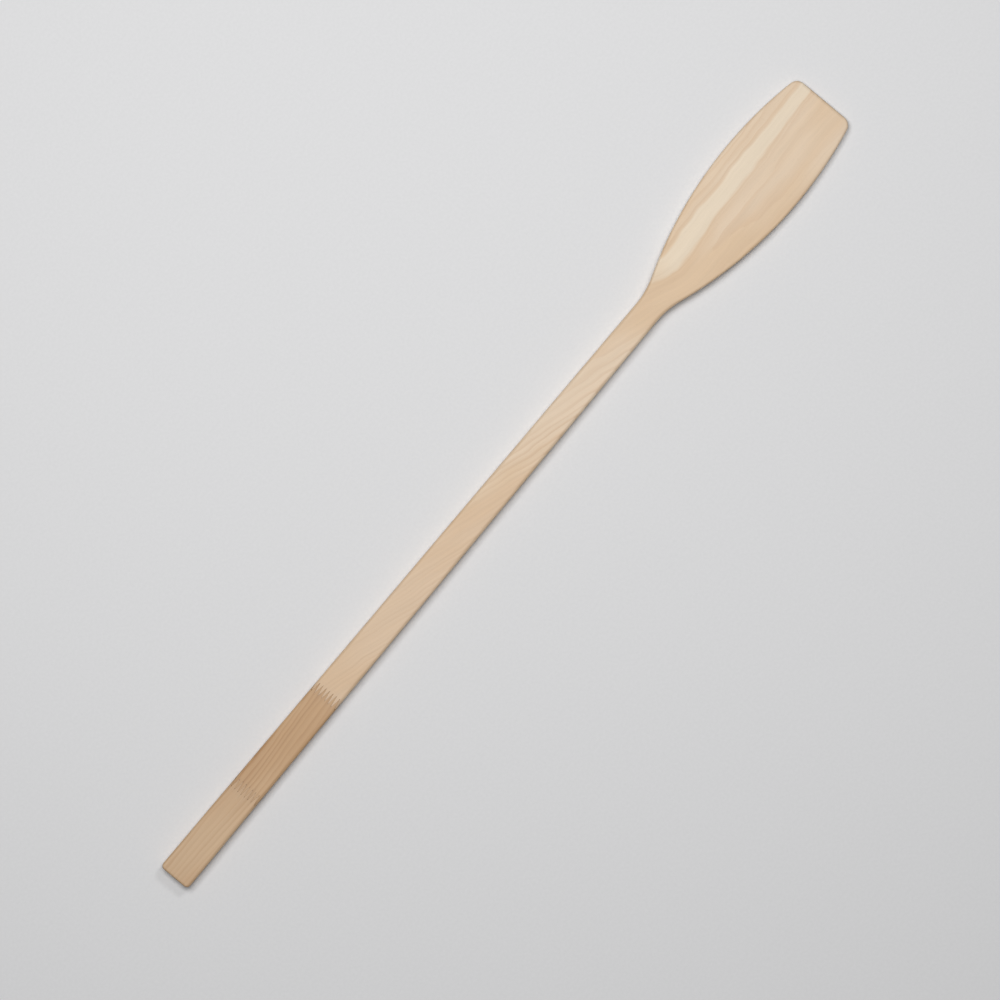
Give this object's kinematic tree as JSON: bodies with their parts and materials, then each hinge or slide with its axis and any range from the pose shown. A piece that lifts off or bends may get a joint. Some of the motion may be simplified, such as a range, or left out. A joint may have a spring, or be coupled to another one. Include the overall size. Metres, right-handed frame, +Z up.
{
  "type": "stirring paddle",
  "caption": "Long flat wooden stirring paddle with a narrow square-cut handle that flares into a thin, straight-tipped blade; finger-jointed handle.",
  "frame": {"origin": "on the plane of the handle's underside, halfway along the paddle and on its centre line", "axes": "+X along the paddle towards the blade tip, +Y across the paddle, +Z up out of the face seen in the picture"},
  "size_m": [0.9, 0.081, 0.016],
  "materials": {
    "wood_end_block": "bare sanded hardwood, pale brown",
    "wood_grip_block": "bare sanded hardwood, a darker and more streaked piece",
    "wood_blade_board": "bare sanded hardwood, palest piece, with a lighter band in the blade",
    "cured_glue": "dry brown wood glue, scraped flush"
  },
  "bodies": {
    "root": {"grip_end_block": "wood_end_block", "grip_joint_glue": "cured_glue", "grip_block": "wood_grip_block", "shaft_joint_glue": "cured_glue", "blade_board": "wood_blade_board"}
  },
  "joints": []
}
